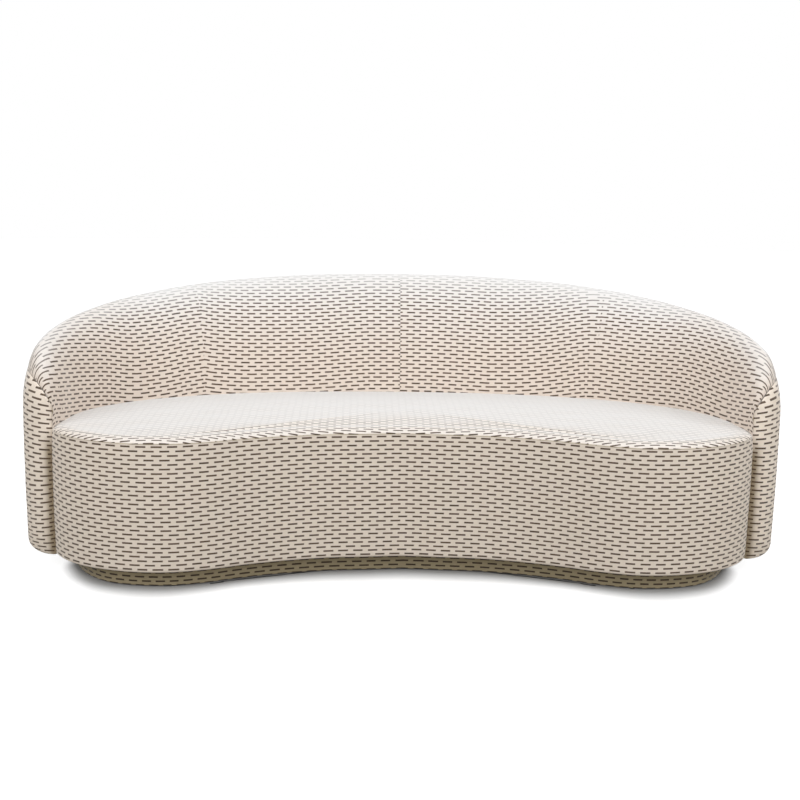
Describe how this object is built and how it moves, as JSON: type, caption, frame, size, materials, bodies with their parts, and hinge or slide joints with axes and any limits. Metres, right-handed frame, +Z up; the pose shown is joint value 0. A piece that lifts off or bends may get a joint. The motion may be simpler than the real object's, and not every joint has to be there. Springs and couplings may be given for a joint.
{
  "type": "curved sofa",
  "caption": "Curved sofa with a wrap-round back that falls into low rounded arms, a kidney-shaped tight seat and a recessed plinth, for several people to sit on.",
  "frame": {"origin": "on the floor, under the middle of the bounding box", "axes": "+X along the sofa towards the right-hand arm as seen from the front, -Y the way a sitter faces, +Z up"},
  "size_m": [2.2668, 1.0564, 0.818],
  "materials": {
    "cloth": "woven furnishing cloth, cream ground with rows of dark brown dashes in a running bond",
    "lining": "thin dark non-woven lining",
    "foam": "pale yellow upholstery foam",
    "wadding": "white polyester wadding",
    "plywood": "birch plywood, uncoated, cut edges",
    "bending_board": "bent thin board, uncoated",
    "webbing": "brown woven elastic webbing",
    "nylon": "black nylon glide",
    "steel": "zinc-plated steel"
  },
  "bodies": {
    "root": {"arm_bottom_rail_left": "plywood", "arm_bottom_rail_right": "plywood", "arm_foam_left": "foam", "arm_foam_right": "foam", "arm_top_rail_left": "plywood", "arm_top_rail_right": "plywood", "back_bottom_rail": "plywood", "back_foam": "foam", "back_top_rail": "plywood", "base_cross_rib_1": "plywood", "base_cross_rib_2": "plywood", "base_cross_rib_3": "plywood", "base_plate_screw_left": "steel", "base_plate_screw_right": "steel", "deck_front_rail": "plywood", "deck_rear_rail": "plywood", "dust_cover": "lining", "front_glide_left": "nylon", "front_glide_right": "nylon", "inner_arm_panel_left": "bending_board", "inner_arm_panel_right": "bending_board", "inner_back_panel": "bending_board", "inside_arm_cover_left": "cloth", "inside_arm_cover_right": "cloth", "inside_back_cover_left": "cloth", "inside_back_cover_right": "cloth", "joining_plate_left": "steel", "joining_plate_right": "steel", "outer_panel_left": "bending_board", "outer_panel_right": "bending_board", "outside_cover_left": "cloth", "outside_cover_right": "cloth", "outside_wadding_left": "wadding", "outside_wadding_right": "wadding", "plinth_cover": "cloth", "plinth_cross_rail_1": "plywood", "plinth_cross_rail_2": "plywood", "plinth_front_rail": "plywood", "plinth_rear_rail": "plywood", "rail_plate_screw_left": "steel", "rail_plate_screw_right": "steel", "rear_glide_left": "nylon", "rear_glide_right": "nylon", "seat_bottom_board": "plywood", "seat_foam": "foam", "seat_front_band": "cloth", "seat_front_facing": "plywood", "seat_front_wrap": "wadding", "seat_rear_facing": "plywood", "seat_rear_lining": "lining", "seat_rear_wrap": "wadding", "seat_top_cover": "cloth", "seat_webbing": "webbing", "shell_rib_1_left": "plywood", "shell_rib_1_right": "plywood", "shell_rib_2_left": "plywood", "shell_rib_2_right": "plywood", "shell_rib_3_left": "plywood", "shell_rib_3_right": "plywood", "shell_rib_centre": "plywood"}
  },
  "joints": []
}
